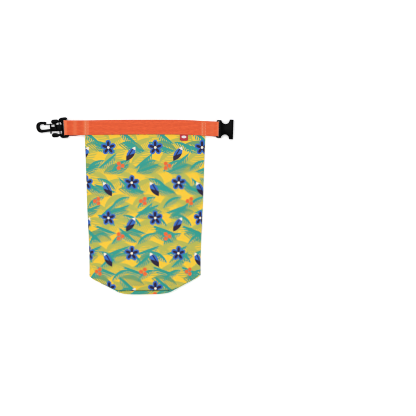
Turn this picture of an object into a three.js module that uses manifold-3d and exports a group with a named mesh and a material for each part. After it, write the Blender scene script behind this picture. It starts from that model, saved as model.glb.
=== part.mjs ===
// Roll-top waterproof bag: an empty bag of coated cloth lying on its back, mouth unrolled.
// Units are millimetres. +X runs to the right along the mouth, +Y from the base to the mouth, and +Z
// off the surface that the bag lies on. The origin is the middle of the footprint, on that surface.
import * as THREE from "three";
import { mergeVertices } from "three/addons/utils/BufferGeometryUtils.js";
import Module from "manifold-3d";

const wasm = await Module();
wasm.setup();

// Driving dimensions
const WEBBING = { width: 25, thick: 1.5 };
const CLOTH = 1.4; // coated cloth with its seam allowance
const GAP = 0.4; // room left between pieces that lie on each other
const CORNER_DEPTH = 265.4; // from the mouth down to the two base corners
const SEAM_TILT = 1.3; // the right corner sits this much higher than that, the left one lower
const FRONT_SEAM_DROP = 25.6; // how far the front panel runs on below the corners
const BACK_SEAM_RISE = 26; // how far the back panel stops short of the corners
const SLANT_RUN = 47; // width over which the seam slants in from a corner
const BASE_BULGE = 20; // pull of the base panel past the front seam
const BULGE_HALF = 52; // the bulge fades out this far from the middle
const EDGE_HEIGHT = 4.5; // height of the side seams off the surface
const LAID_FLAT = 0.72; // share of the width that lies on the surface
const CROWN = 0.9; // how full the front is: 1 is an ellipse, less is flatter

// The bag's sections from mouth to base seam: half width, and height of the front's crown
const SECTIONS = [
  { along: 0.0, half: 103.1, loft: 10.8 },
  { along: 0.1, half: 102.8, loft: 10.8 },
  { along: 0.3, half: 100.8, loft: 16 },
  { along: 0.55, half: 98.6, loft: 21 },
  { along: 0.8, half: 95.5, loft: 23 },
  { along: 0.93, half: 94.7, loft: 19.5 },
  { along: 1.0, half: 95.0, loft: 11 },
];

// How far the mouth and its webbing sink from a straight line
const MOUTH_LINE = [
  { x: -186, drop: 0.6 },
  { x: -138, drop: 0.9 },
  { x: -105, drop: 1.0 },
  { x: -60, drop: 0.35 },
  { x: 0, drop: 0 },
  { x: 45, drop: 0.1 },
  { x: 80, drop: 0.8 },
  { x: 103, drop: 2.2 },
  { x: 150, drop: 4.0 },
];

// Soft creases in the front panel: middle, heading in degrees, half length, half width, depth
const FOLDS = [
  { x: -56, y: -240, heading: 33, length: 46, width: 10, depth: 1.8 },
  { x: 58, y: -238, heading: 148, length: 44, width: 10, depth: 1.7 },
  { x: -34, y: -66, heading: 84, length: 50, width: 13, depth: 1.2 },
  { x: 46, y: -104, heading: 98, length: 62, width: 14, depth: 1.3 },
  { x: 4, y: -186, heading: 6, length: 56, width: 13, depth: 1.0 },
];

// Buckle and hook places: where the webbing folds round each bar, and how the ends are turned
const LEFT_BAR_X = -134.2;
const LEFT_FOLD_X = -138.3;
const LEFT_TURN = THREE.MathUtils.degToRad(3.3);
const RIGHT_BAR_X = 122.4;
const RIGHT_FOLD_X = 125.6;
const RIGHT_TURN = THREE.MathUtils.degToRad(-2.0);
const TURN_FROM = 106; // the webbing is square to the bag up to here, and turned from TURN_FULL on
const TURN_FULL = 122;
const STITCHED_AT = 97; // the webbing's folded-back ends reach this far in from each side

const SOCKET = {
  length: 29.0, // from the bar to the open end
  frame: 15.2, // half width at the bar
  waist: 9, // half width between the finger hollows
  mouth: 16.7, // half width at the open end
  thick: 9,
  bar: 2.2,
  barThick: 2.8,
  slot: 2.4, // right through, for the webbing
  groove: 5.2, // from the top, over the slot and a ledge beside it
  ledge: 3.4,
  throat: 13.6, // half width of the hollow that takes the plug
  throatHeight: 5.4,
  throatDepth: 19,
};
const PLUG = {
  half: 15.2,
  thick: 3.8,
  bar: 2.6,
  barLow: 2.3,
  barHigh: 4.3,
  slot: 3.1,
  crossEnd: 8.9,
  notchEnd: 6.0,
  notchHalf: 6.9,
  sillEnd: 7.9, // a lower sill in the notch
  sill: 2.9,
  arm: 3.2, // thickness of the arms and their round heads
  armRound: 1.4,
  tip: 25.3,
};
const RING = {
  half: 17.5,
  rise: 0.4, // its middle lies this much above the webbing's, along the bar
  far: 12.4,
  thick: 3.0,
  bar: 2.2,
  ear: 3.4, // its two ends reach this far past the middle of the bar, outside the webbing
  earFrom: 13.3,
  slotEnd: 10.4,
  slotHalf: 13.1,
  corner: 7,
  lean: THREE.MathUtils.degToRad(2.5), // against the hook's own heading
};
const BOSS = { from: 6.9, to: 16.4, below: 5, above: 6.2, thick: 6, bore: 2.1 };
const HOOK = {
  axisHeight: 7.35, // of the ring's bar above the surface
  droop: THREE.MathUtils.degToRad(5.1), // the hook's tip leans down to the surface
  thick: 5.4,
  post: 1.85,
  headFrom: 5.0,
  headTo: 6.6,
  head: 2.7,
  neckFrom: 16.7,
  neckBelow: 5.0,
  neckAbove: 3.0,
  collarFrom: 25.4,
  collarTo: 27.7,
  collarHalf: 8.5,
  tip: 51.2,
};
const GATE = {
  pivotOut: 18.1,
  pivotSide: 6.75,
  eye: 1.3,
  pin: 0.7,
  play: 0.25,
  rise: 0.45, // the blade lies this much outside its pin
  leaf: 1.45,
  wide: 2.4,
  tip: 33.9,
};
const CHEEK = { from: 16.7, to: 19.7, side: 8.05, slot: 3.0 };
const TAG = { x: 66.3, width: 13.4, length: 9.8, thick: 1.0 };

const MATERIALS = {
  cloth: new THREE.MeshStandardMaterial({ color: 0xf0c534, roughness: 0.62, metalness: 0 }),
  webbing: new THREE.MeshStandardMaterial({ color: 0xe9603a, roughness: 0.8, metalness: 0 }),
  plastic: new THREE.MeshStandardMaterial({ color: 0x121213, roughness: 0.42, metalness: 0 }),
  tag: new THREE.MeshStandardMaterial({ color: 0xc6304a, roughness: 0.75, metalness: 0 }),
};

// Small tools for tables, surfaces and solids

// Smooth value of a table's column at a place, by a cubic through its rows.
function lookUp(table, place, column, at) {
  const last = table.length - 1;
  const spot = THREE.MathUtils.clamp(at, table[0][place], table[last][place]);
  let row = 0;
  while (row < last - 1 && spot > table[row + 1][place]) row++;
  const slope = (k) => {
    const before = table[Math.max(k - 1, 0)];
    const after = table[Math.min(k + 1, last)];
    return (after[column] - before[column]) / (after[place] - before[place]);
  };
  const from = table[row];
  const to = table[row + 1];
  const run = to[place] - from[place];
  const t = (spot - from[place]) / run;
  const ease = t * t * (3 - 2 * t);
  const leaving = t * (1 - t) * (1 - t) * run * slope(row);
  const arriving = t * t * (t - 1) * run * slope(row + 1);
  return THREE.MathUtils.lerp(from[column], to[column], ease) + leaving + arriving;
}

function smoothMin(a, b, blend) {
  const overlap = Math.max(blend - Math.abs(a - b), 0) / blend;
  return Math.min(a, b) - (overlap * overlap * blend) / 4;
}

// A closed surface through rings of points. Rings that don't wrap are closed by a strip at each end,
// which joins a ring's first half to its second half run backwards.
function skin(rings, wraps) {
  const count = rings[0].length;
  const spots = rings.flat().flatMap((point) => point.toArray());
  const index = [];
  const at = (ring, k) => (ring % rings.length) * count + (k % count);
  const quad = (a, b, c, d) => index.push(a, b, c, a, c, d);
  const steps = wraps ? rings.length : rings.length - 1;
  for (let ring = 0; ring < steps; ring++) {
    for (let k = 0; k < count; k++) {
      quad(at(ring, k), at(ring, k + 1), at(ring + 1, k + 1), at(ring + 1, k));
    }
  }
  if (!wraps) {
    const end = rings.length - 1;
    for (let k = 0; k < count / 2 - 1; k++) {
      quad(at(0, k), at(0, count - 1 - k), at(0, count - 2 - k), at(0, k + 1));
      quad(at(end, k), at(end, k + 1), at(end, count - 2 - k), at(end, count - 1 - k));
    }
  }
  const surface = new THREE.BufferGeometry();
  surface.setAttribute("position", new THREE.Float32BufferAttribute(spots, 3));
  surface.setIndex(index);
  return surface;
}

function toSolid(geometry) {
  const bare = new THREE.BufferGeometry();
  bare.setAttribute("position", geometry.getAttribute("position"));
  bare.setIndex(geometry.index);
  const merged = mergeVertices(bare, 1e-4);
  return new wasm.Manifold(
    new wasm.Mesh({
      numProp: 3,
      vertProperties: new Float32Array(merged.getAttribute("position").array),
      triVerts: new Uint32Array(merged.index.array),
    }),
  );
}

function toGeometry(solid) {
  const mesh = solid.getMesh();
  const made = new THREE.BufferGeometry();
  made.setAttribute("position", new THREE.BufferAttribute(mesh.vertProperties, 3));
  made.setIndex(new THREE.BufferAttribute(mesh.triVerts, 1));
  return made;
}

// One solid from a list of geometries to join and a list to cut away.
function carve(joined, cut = []) {
  const body = joined.map(toSolid).reduce((all, piece) => all.add(piece));
  return toGeometry(cut.map(toSolid).reduce((all, piece) => all.subtract(piece), body));
}

function block([x0, x1], [y0, y1], [z0, z1]) {
  const box = new THREE.BoxGeometry(x1 - x0, y1 - y0, z1 - z0);
  return box.translate((x0 + x1) / 2, (y0 + y1) / 2, (z0 + z1) / 2);
}

// A round rod along X between two places.
function rodAlongX(radius, x0, x1, sides = 16) {
  const rod = new THREE.CylinderGeometry(radius, radius, x1 - x0, sides);
  return rod.rotateZ(Math.PI / 2).translate((x0 + x1) / 2, 0, 0);
}

// A round rod along Z through a point of the plane, as long as wanted and centred on it.
function rodAlongZ(radius, x, y, length, sides = 16) {
  const rod = new THREE.CylinderGeometry(radius, radius, length, sides);
  return rod.rotateX(Math.PI / 2).translate(x, y, 0);
}

// A flat moulding: an outline in the plane, given its thickness with rounded edges, centred on z = 0.
function moulding(outline, thick, round, holes = []) {
  const shape = new THREE.Shape(outline);
  shape.holes = holes.map((hole) => new THREE.Path(hole));
  const flat = new THREE.ExtrudeGeometry(shape, {
    depth: thick - 2 * round,
    bevelEnabled: true,
    bevelThickness: round,
    bevelSize: round,
    bevelOffset: -round,
    bevelSegments: 2,
    curveSegments: 6,
  });
  return flat.translate(0, 0, round - thick / 2);
}

// Half an outline, run from one point of the X axis to another, with its mirror image.
function bothSides(half) {
  return [...half, ...half.map((point) => new THREE.Vector2(point.x, -point.y)).reverse()];
}

function rectangle([x0, x1], [y0, y1]) {
  const corners = [
    [x0, y0],
    [x1, y0],
    [x1, y1],
    [x0, y1],
  ];
  return corners.map(([x, y]) => new THREE.Vector2(x, y));
}

// The bag's own shape

const mouthDroop = (x) => -lookUp(MOUTH_LINE, "x", "drop", x);
const sectionHalf = (along) => lookUp(SECTIONS, "along", "half", along);
const sectionLoft = (along) => lookUp(SECTIONS, "along", "loft", along);
const SEAM_HALF = sectionHalf(1);

// Share of the seam's slant reached at a share of the half width: 0 at a corner, 1 along the bottom.
const cornerRamp = (across) => smoothMin(((1 - Math.abs(across)) * SEAM_HALF) / SLANT_RUN, 1, 0.2);

const cornerDepth = (across) => CORNER_DEPTH - SEAM_TILT * across;
const frontSeamDepth = (across) => cornerDepth(across) + FRONT_SEAM_DROP * cornerRamp(across);
const backSeamDepth = (across) => cornerDepth(across) - BACK_SEAM_RISE * cornerRamp(across);

// Height of the front over the surface, before its folds: from the side seams up to the crown.
function frontHeight(across, loft) {
  const edge = EDGE_HEIGHT + GAP / 2;
  const lift = Math.sqrt(Math.max(0, 1 - across * across));
  return edge + (loft - edge) * Math.pow(lift, CROWN);
}

// Height of the back: flat on the surface, then a quarter round up to the side seams.
function backHeight(across, floor) {
  const edge = EDGE_HEIGHT - GAP / 2;
  const turn = Math.max(0, (Math.abs(across) - LAID_FLAT) / (1 - LAID_FLAT));
  return floor + (edge - floor) * (1 - Math.sqrt(Math.max(0, 1 - turn * turn)));
}

// Depth of the front's creases at a place.
function foldDepth(x, y) {
  return FOLDS.reduce((sum, fold) => {
    const heading = THREE.MathUtils.degToRad(fold.heading);
    const dx = x - fold.x;
    const dy = y - fold.y;
    const run = (dx * Math.cos(heading) + dy * Math.sin(heading)) / fold.length;
    const off = (dy * Math.cos(heading) - dx * Math.sin(heading)) / fold.width;
    return sum + fold.depth * Math.exp(-run * run - off * off);
  }, 0);
}

// A point of the front or back panel: a share of the way across from the right side seam to the left,
// a share of the way from mouth to base seam, and the outer face or the inner one.
function panelPoint(front, share, along, inner) {
  const angle = Math.PI * share;
  const across = Math.cos(angle);
  const sideWall = inner ? 1.4 * CLOTH : 0;
  const rimStep = inner ? 0.7 : 0;
  const wall = inner ? CLOTH : 0;
  const x = (sectionHalf(along) - sideWall) * across;
  const seam = front ? frontSeamDepth(across) : backSeamDepth(across);
  const y = mouthDroop(x) * (1 - along) - (seam - rimStep) * along;
  if (!front) return new THREE.Vector3(x, y, backHeight(across, wall));
  const height = frontHeight(across, sectionLoft(along) - wall);
  return new THREE.Vector3(x, y, height - foldDepth(x, y) * Math.sin(angle));
}

// One of the two panels of cloth, from the mouth down to the base seam. They meet along the side seams.
function bagPanel(front) {
  const acrossSteps = front ? 26 : 22;
  const downSteps = front ? 22 : 12;
  const shares = Array.from({ length: acrossSteps + 1 }, (_, k) => k / acrossSteps);
  const row = (along, inner) => shares.map((share) => panelPoint(front, share, along, inner));
  const rings = [];
  for (let k = 0; k <= downSteps; k++) {
    const even = k / downSteps;
    const along = even + 0.05 * Math.sin(2 * Math.PI * even);
    const faces = [row(along, !front), row(along, front).reverse()];
    rings.push(faces.flat());
  }
  return skin(rings, false);
}

// The base panel: from the front seam it bulges out past the bag's end, turns under, and lies on the
// surface up to the back seam.
function basePanel() {
  const acrossSteps = 28;
  const downSteps = 9;
  const reach = 0.968;
  const rings = [];
  for (let i = 0; i <= acrossSteps; i++) {
    const across = reach * Math.sin((i / acrossSteps - 0.5) * Math.PI);
    const x = SEAM_HALF * across;
    const ramp = cornerRamp(across);
    const low = backHeight(across, 0);
    const high = frontHeight(across, sectionLoft(1));
    const bulge = Math.max(0, 1 - (x / BULGE_HALF) ** 4);
    const seamGap = (3 - bulge) * GAP;
    const start = new THREE.Vector2(-frontSeamDepth(across) - seamGap, high);
    const end = new THREE.Vector2(-backSeamDepth(across) - seamGap, low);
    const pullHeight = low * 0.6 + 0.3 * (high - low) * (1 - bulge);
    const pull = new THREE.Vector2(start.x - 4 - BASE_BULGE * bulge, pullHeight);
    const section = new THREE.QuadraticBezierCurve(start, pull, end);
    const thick = CLOTH * Math.min(1, 0.35 + 2 * ramp);
    const outside = [];
    const inside = [];
    for (let k = 0; k <= downSteps; k++) {
      const point = section.getPoint(k / downSteps);
      const run = section.getTangent(k / downSteps);
      outside.push(new THREE.Vector3(x, point.x, point.y));
      inside.push(new THREE.Vector3(x, point.x - run.y * thick, point.y + run.x * thick));
    }
    rings.push([...outside, ...inside.reverse()]);
  }
  return skin(rings, false);
}

// The webbing along the mouth

const LIP_ALONG = WEBBING.width / CORNER_DEPTH;
const lipHeight = (x) => frontHeight(x / sectionHalf(LIP_ALONG), sectionLoft(LIP_ALONG));

// How much the webbing is turned at a place, from none over the bag to the buckle's own turn.
function webbingTurn(x) {
  const share = THREE.MathUtils.smoothstep(Math.abs(x), TURN_FROM, TURN_FULL);
  return share * Math.tan(x < 0 ? LEFT_TURN : RIGHT_TURN);
}

// One strap, seen along its width: it starts behind the left tab, folds round the left bars, crosses the
// front of the mouth, folds round the right bar and ends behind the right tab.
function webbingRoute() {
  const half = WEBBING.thick / 2;
  const over = (x) => lipHeight(x) + GAP + half;
  const left = { low: 1.05, high: 9.95, corner: 1.9 };
  const right = { low: SOCKET.thick / 2 - 2.6, high: SOCKET.thick / 2 + 2.6, corner: 1.6 };
  const leftX = LEFT_FOLD_X + half + left.corner;
  const rightX = RIGHT_FOLD_X - half - right.corner;
  const underEnd = over(STITCHED_AT);
  const doubled = underEnd + WEBBING.thick + GAP;
  const route = new THREE.Path();
  route.moveTo(-STITCHED_AT, underEnd);
  route.splineThru(
    [
      [-103.5, 6.9],
      [-114, 4.3],
      [-125, 1.8],
      [leftX, left.low],
    ].map(([x, z]) => new THREE.Vector2(x, z)),
  );
  route.absarc(leftX, left.low + left.corner, left.corner, -Math.PI / 2, -Math.PI, true);
  route.absarc(leftX, left.high - left.corner, left.corner, Math.PI, Math.PI / 2, true);
  const crossing = [
    [-123, left.high],
    [-110, doubled + 0.1],
    [-STITCHED_AT, doubled],
  ];
  for (let x = -86; x <= 86; x += 21.5) crossing.push([x, over(x) + 0.15]);
  crossing.push([STITCHED_AT, doubled], [107, 8.7], [114.5, 7.5], [rightX, right.high]);
  route.splineThru(crossing.map(([x, z]) => new THREE.Vector2(x, z)));
  route.absarc(rightX, right.high - right.corner, right.corner, Math.PI / 2, 0, true);
  route.absarc(rightX, right.low + right.corner, right.corner, 0, -Math.PI / 2, true);
  route.splineThru(
    [
      [114.5, 2.6],
      [108.5, 4.6],
      [103.5, 6.7],
      [STITCHED_AT, underEnd],
    ].map(([x, z]) => new THREE.Vector2(x, z)),
  );
  return route.getPoints(4);
}

function mouthWebbing() {
  const route = webbingRoute().filter((point, k, all) => k === 0 || point.distanceTo(all[k - 1]) > 1e-3);
  const last = route.length - 1;
  const side = (sign) =>
    route.map((point, k) => {
      const ahead = route[Math.min(k + 1, last)];
      const behind = route[Math.max(k - 1, 0)];
      const run = ahead.clone().sub(behind).normalize();
      const away = new THREE.Vector2(-run.y, run.x);
      return point.clone().addScaledVector(away, (sign * WEBBING.thick) / 2);
    });
  const outline = new THREE.Shape([...side(1), ...side(-1).reverse()]);
  const strap = new THREE.ExtrudeGeometry(outline, { depth: WEBBING.width, bevelEnabled: false });
  strap.rotateX(Math.PI / 2);
  const spots = strap.getAttribute("position");
  for (let k = 0; k < spots.count; k++) {
    const x = spots.getX(k);
    const y = spots.getY(k);
    spots.setX(k, x - (y + WEBBING.width / 2) * webbingTurn(x));
    spots.setY(k, y + mouthDroop(x));
  }
  return strap;
}

// The plain folded tag that hangs out below the webbing, lying on the front panel.
function frontTag() {
  const steps = 5;
  const top = WEBBING.width + 2 * GAP;
  const rings = [];
  for (let i = 0; i <= steps; i++) {
    const x = TAG.x + TAG.width * (i / steps - 0.5);
    const row = (lift) =>
      Array.from({ length: steps + 1 }, (_, k) => {
        const depth = top - mouthDroop(x) + (TAG.length * k) / steps;
        const along = depth / frontSeamDepth(x / SEAM_HALF);
        const seat = frontHeight(x / sectionHalf(along), sectionLoft(along));
        return new THREE.Vector3(x, -depth, seat + GAP + lift);
      });
    rings.push([...row(TAG.thick), ...row(0).reverse()]);
  }
  return skin(rings, false);
}

// The side-release buckle

// The socket half, open at its end, with a finger hollow in each side where the plug's heads show.
function buckleSocket() {
  const { length, frame, waist, mouth, thick, bar, barThick, slot, groove, ledge } = SOCKET;
  const hollow = { x: 15.3, radius: 6.9, reach: 0.72 * Math.PI };
  const half = new THREE.Path();
  half.moveTo(0, frame - 3);
  half.quadraticCurveTo(0, frame, 3, frame);
  half.lineTo(8.2, frame);
  const start = -Math.PI / 2 - hollow.reach / 2;
  half.absarc(hollow.x, waist + hollow.radius, hollow.radius, start, start + hollow.reach, false);
  half.lineTo(22.6, mouth);
  half.lineTo(length, mouth);
  const slotHalf = frame - 2.1;
  const shell = moulding(bothSides(half.getPoints(5)), thick, 1.1);
  const webbingSlot = block([bar, bar + slot], [-slotHalf, slotHalf], [-thick, thick]);
  const topGroove = block([bar, bar + groove], [-slotHalf, slotHalf], [ledge - thick / 2, thick]);
  const barTrim = (low, high) => block([-1, bar + 0.01], [-slotHalf, slotHalf], [low, high]);
  const throatSide = [-SOCKET.throat, SOCKET.throat];
  const throatTall = [-SOCKET.throatHeight / 2, SOCKET.throatHeight / 2];
  const cavity = block([length - SOCKET.throatDepth, length + 1], throatSide, throatTall);
  const trims = [barTrim(barThick / 2, thick), barTrim(-thick, -barThick / 2)];
  const made = carve([shell], [cavity, webbingSlot, topGroove, ...trims]);
  return made.translate(-bar / 2, 0, thick / 2);
}

// The plug half: a frame with a bar for the webbing, and two springy arms with thick heads.
function bucklePlug() {
  const { half, thick, bar, barLow, barHigh, slot, crossEnd, notchEnd, notchHalf } = PLUG;
  const { arm, armRound, tip, sillEnd, sill } = PLUG;
  const slotEnd = bar / 2 + slot;
  const outline = new THREE.Path();
  outline.moveTo(bar / 2, half - 2);
  outline.quadraticCurveTo(bar / 2, half, bar / 2 - 2, half);
  outline.lineTo(-crossEnd + 2, half);
  outline.quadraticCurveTo(-crossEnd, half, -crossEnd, half - 2);
  outline.lineTo(-crossEnd, notchHalf + 1);
  outline.quadraticCurveTo(-notchEnd, notchHalf + 1, -notchEnd, notchHalf);
  const slotHalf = half - 2.1;
  const frame = moulding(bothSides(outline.getPoints(4)), thick, 0.7, [
    rectangle([-slotEnd, -bar / 2], [-slotHalf, slotHalf]),
  ]);
  frame.translate(0, 0, thick / 2);
  const head = new THREE.Path();
  head.moveTo(1.6 - crossEnd, 13.5);
  head.lineTo(-13, 13.5);
  head.quadraticCurveTo(-14.6, 15.2, -17, 15.2);
  head.lineTo(-21.4, 15.2);
  head.quadraticCurveTo(-tip, 15, -tip, 11.6);
  head.quadraticCurveTo(-tip, 7.8, -20.6, 7.8);
  head.quadraticCurveTo(-16.4, 7.8, -13.8, 9.9);
  head.lineTo(1.6 - crossEnd, 9.9);
  const points = head.getPoints(5);
  const arms = [1, -1].map((sign) => {
    const outlineHere = points.map((point) => new THREE.Vector2(point.x, sign * point.y));
    return moulding(outlineHere, arm, armRound).translate(0, 0, arm / 2 + 0.1);
  });
  const trim = (low, high) => block([-bar / 2 - 0.01, bar / 2 + 1], [-slotHalf, slotHalf], [low, high]);
  const barBody = block([-bar / 2, bar / 2], [-slotHalf - 0.5, slotHalf + 0.5], [barLow, barHigh]);
  const sillBody = block([-sillEnd, 0.5 - notchEnd], [-notchHalf - 1, notchHalf + 1], [0.1, sill]);
  const cut = carve([frame], [trim(-1, barLow), trim(barHigh, thick + 1)]);
  return carve([cut, barBody, sillBody, ...arms]);
}

// The swivel hook

// The ring that the webbing holds, with the boss that the hook's post turns in.
function hookRing() {
  const { half, rise, far, thick, bar, ear, earFrom, slotEnd, slotHalf, corner, lean } = RING;
  const outline = new THREE.Path();
  outline.moveTo(bar / 2, earFrom);
  outline.lineTo(ear, earFrom);
  outline.quadraticCurveTo(ear, half, ear - 4, half);
  outline.lineTo(corner - far, half);
  outline.quadraticCurveTo(-far, half, -far, half - corner);
  const slotCorner = 3;
  const slot = new THREE.Path();
  slot.moveTo(-bar / 2, slotHalf);
  slot.lineTo(slotCorner - slotEnd, slotHalf);
  slot.quadraticCurveTo(-slotEnd, slotHalf, -slotEnd, slotHalf - slotCorner);
  const ring = moulding(bothSides(outline.getPoints(6)), thick, 0.9, [bothSides(slot.getPoints(5))]);
  ring.translate(0, rise, 0);
  ring.rotateZ(lean);
  const bossMiddle = (BOSS.from + BOSS.to) / 2;
  const boss = moulding(rectangle([-BOSS.to, -BOSS.from], [-BOSS.below, BOSS.above]), BOSS.thick, 1.2);
  return carve([ring, boss], [rodAlongX(BOSS.bore, -bossMiddle - 10, -bossMiddle + 10)]);
}

// The hook: a headed post, a neck, a collar, and the open bow whose nose the gate closes.
function snapHook() {
  const { thick, post, headFrom, headTo, head, neckFrom, neckBelow, neckAbove, tip } = HOOK;
  const { collarFrom, collarTo, collarHalf } = HOOK;
  const bow = new THREE.Path();
  bow.moveTo(-collarFrom - 1, -4.7);
  bow.lineTo(-42.5, -6.1);
  bow.quadraticCurveTo(-47.4, -5.8, -49.7, -1.6);
  bow.quadraticCurveTo(-tip, 1.4, -tip, 4.4);
  bow.quadraticCurveTo(-tip, 12, -43.2, 12.6);
  bow.lineTo(-36.2, 12.2);
  bow.quadraticCurveTo(-33.2, 11.8, -33.6, 9.9);
  bow.lineTo(-34.9, 6.6);
  bow.lineTo(-37.2, 6.8);
  bow.lineTo(-38.4, 8.2);
  bow.lineTo(-41.6, 8.2);
  bow.quadraticCurveTo(-45.2, 7.8, -45.2, 3.9);
  bow.quadraticCurveTo(-45, -0.7, -40.4, -1.1);
  bow.lineTo(-collarFrom - 1, -0.5);
  const round = 0.9;
  const flat = (low, high) => moulding(rectangle(low, high), thick, round);
  const cheeks = flat([-CHEEK.to, -CHEEK.from], [neckAbove - 1.5, CHEEK.side]);
  const joined = [
    moulding(bow.getPoints(5), thick, round),
    flat([-collarFrom - 1.2, -neckFrom], [-neckBelow, neckAbove]),
    flat([-collarTo, -collarFrom], [-collarHalf, collarHalf]),
    cheeks,
    rodAlongX(post, -neckFrom - 1, -headTo + 0.5),
    rodAlongX(head, -headTo, -headFrom),
  ];
  const slotRun = [-collarTo - 1, -CHEEK.from + 1];
  const gateSlot = block(slotRun, [neckAbove - 1, collarHalf + 1], [-CHEEK.slot / 2, CHEEK.slot / 2]);
  const pinHole = rodAlongZ(GATE.pin + GATE.play, -GATE.pivotOut, GATE.pivotSide, thick + 2, 12);
  return carve(joined, [gateSlot, pinHole]);
}

// The gate: a thin lever that swings inwards on its pin, and shuts against the bow's nose.
function hookGate() {
  const { pivotOut, pivotSide, eye, pin, rise, leaf, wide, tip } = GATE;
  const middle = pivotSide + rise;
  const blade = rectangle([-tip, -pivotOut], [middle - leaf / 2, middle + leaf / 2]);
  return carve([
    moulding(blade, wide, 0.35),
    rodAlongZ(eye, -pivotOut, pivotSide, wide, 14),
    rodAlongZ(pin, -pivotOut, pivotSide, HOOK.thick - 0.6, 12),
  ]);
}

// The assembly

function piece(name, geometry, material) {
  const mesh = new THREE.Mesh(geometry, material);
  mesh.name = name;
  return mesh;
}

const bag = new THREE.Group();
bag.add(
  piece("front_panel", bagPanel(true), MATERIALS.cloth),
  piece("back_panel", bagPanel(false), MATERIALS.cloth),
  piece("base_panel", basePanel(), MATERIALS.cloth),
  piece("mouth_webbing", mouthWebbing(), MATERIALS.webbing),
  piece("front_tag", frontTag(), MATERIALS.tag),
);

const leftEnd = new THREE.Group();
leftEnd.position.set(LEFT_BAR_X, mouthDroop(LEFT_BAR_X) - WEBBING.width / 2, 0);
leftEnd.rotation.z = LEFT_TURN;
const hook = new THREE.Group();
hook.position.z = HOOK.axisHeight;
hook.rotation.y = -HOOK.droop;
hook.add(
  piece("hook_ring", hookRing(), MATERIALS.plastic),
  piece("snap_hook", snapHook(), MATERIALS.plastic),
  piece("hook_gate", hookGate(), MATERIALS.plastic),
);
leftEnd.add(piece("buckle_plug", bucklePlug(), MATERIALS.plastic), hook);

const rightEnd = new THREE.Group();
rightEnd.position.set(RIGHT_BAR_X, mouthDroop(RIGHT_BAR_X) - WEBBING.width / 2, 0);
rightEnd.rotation.z = RIGHT_TURN;
rightEnd.add(piece("buckle_socket", buckleSocket(), MATERIALS.plastic));
bag.add(leftEnd, rightEnd);

// The origin goes to the middle of the footprint.
bag.updateMatrixWorld(true);
const extent = new THREE.Box3().setFromObject(bag, true);
const middle = extent.getCenter(new THREE.Vector3());
bag.position.set(-middle.x, -middle.y, 0);

const part = new THREE.Group();
part.add(bag);
export default part;
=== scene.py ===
# %% [markdown]
# # A roll-top waterproof bag
# The bag is sewn from printed, coated cloth: a front, a back and an oval base. Webbing runs along the
# front of the mouth and ends in a swivel hook and the two halves of a side-release buckle.
# The solids already have the right sizes, so this lesson works over them: it lays finer cloth where the
# panels are, weaves the strap, sews it down and gives the mouldings soft edges.

import bmesh
import bpy
import numpy as np
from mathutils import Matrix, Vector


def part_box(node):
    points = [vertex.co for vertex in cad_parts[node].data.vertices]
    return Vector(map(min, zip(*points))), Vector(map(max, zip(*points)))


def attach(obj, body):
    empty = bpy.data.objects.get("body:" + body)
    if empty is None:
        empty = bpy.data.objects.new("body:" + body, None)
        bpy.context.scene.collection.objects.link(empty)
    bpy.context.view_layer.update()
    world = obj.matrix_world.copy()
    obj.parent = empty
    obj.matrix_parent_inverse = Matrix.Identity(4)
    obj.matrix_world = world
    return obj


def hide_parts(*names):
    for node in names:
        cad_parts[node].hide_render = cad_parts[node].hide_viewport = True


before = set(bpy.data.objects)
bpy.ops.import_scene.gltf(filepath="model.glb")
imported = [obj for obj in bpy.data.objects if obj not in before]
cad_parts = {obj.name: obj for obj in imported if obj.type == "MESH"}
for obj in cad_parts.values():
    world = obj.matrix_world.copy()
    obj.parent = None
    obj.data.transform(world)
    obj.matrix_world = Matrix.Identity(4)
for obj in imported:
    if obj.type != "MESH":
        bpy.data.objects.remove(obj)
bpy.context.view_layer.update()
print("solids:", sorted(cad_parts))

# %% [markdown]
# ## Sums on sockets
# A print is mostly arithmetic: how far is this point from a leaf's midrib, and is that less than its
# width? Wiring that by hand takes hundreds of Math nodes. A small class that stands for one socket lets
# the sums be written as ordinary expressions, and each operator adds its node.


# %% Wires
class Wire:
    """One socket of a finish. Arithmetic on wires adds Math nodes to that finish."""

    def __init__(self, finish, socket):
        self.finish = finish
        self.socket = socket

    def math(self, operation, *others, clamp=False):
        """A Math node with this wire as its first value."""
        settings = {"operation": operation, "use_clamp": clamp}
        return self.finish.add("ShaderNodeMath", settings, dict(enumerate((self, *others))))

    def __add__(self, other):
        return self.math("ADD", other)

    def __sub__(self, other):
        return self.math("SUBTRACT", other)

    def __mul__(self, other):
        return self.math("MULTIPLY", other)

    def __truediv__(self, other):
        return self.math("DIVIDE", other)

    def __mod__(self, other):
        return self.math("FLOORED_MODULO", other)

    def after(self, operation, other):
        """A sum with the other value first, as in 1 - mask."""
        return self.finish.add("ShaderNodeMath", {"operation": operation}, {0: other, 1: self})

    def __rsub__(self, other):
        return self.after("SUBTRACT", other)

    def __rtruediv__(self, other):
        return self.after("DIVIDE", other)

    def __rmod__(self, other):
        return self.after("FLOORED_MODULO", other)

    def __gt__(self, other):
        return self.math("GREATER_THAN", other)

    def __lt__(self, other):
        return self.math("LESS_THAN", other)

    def __abs__(self):
        return self.math("ABSOLUTE")

    __radd__ = __add__
    __rmul__ = __mul__

    def limited(self):
        """The value kept between 0 and 1."""
        return self.math("MINIMUM", 1.0, clamp=True)

    def split(self):
        """The three parts of a vector."""
        parts = self.finish.add("ShaderNodeSeparateXYZ", {}, {0: self})
        return [Wire(self.finish, out) for out in parts.socket.node.outputs]


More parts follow.
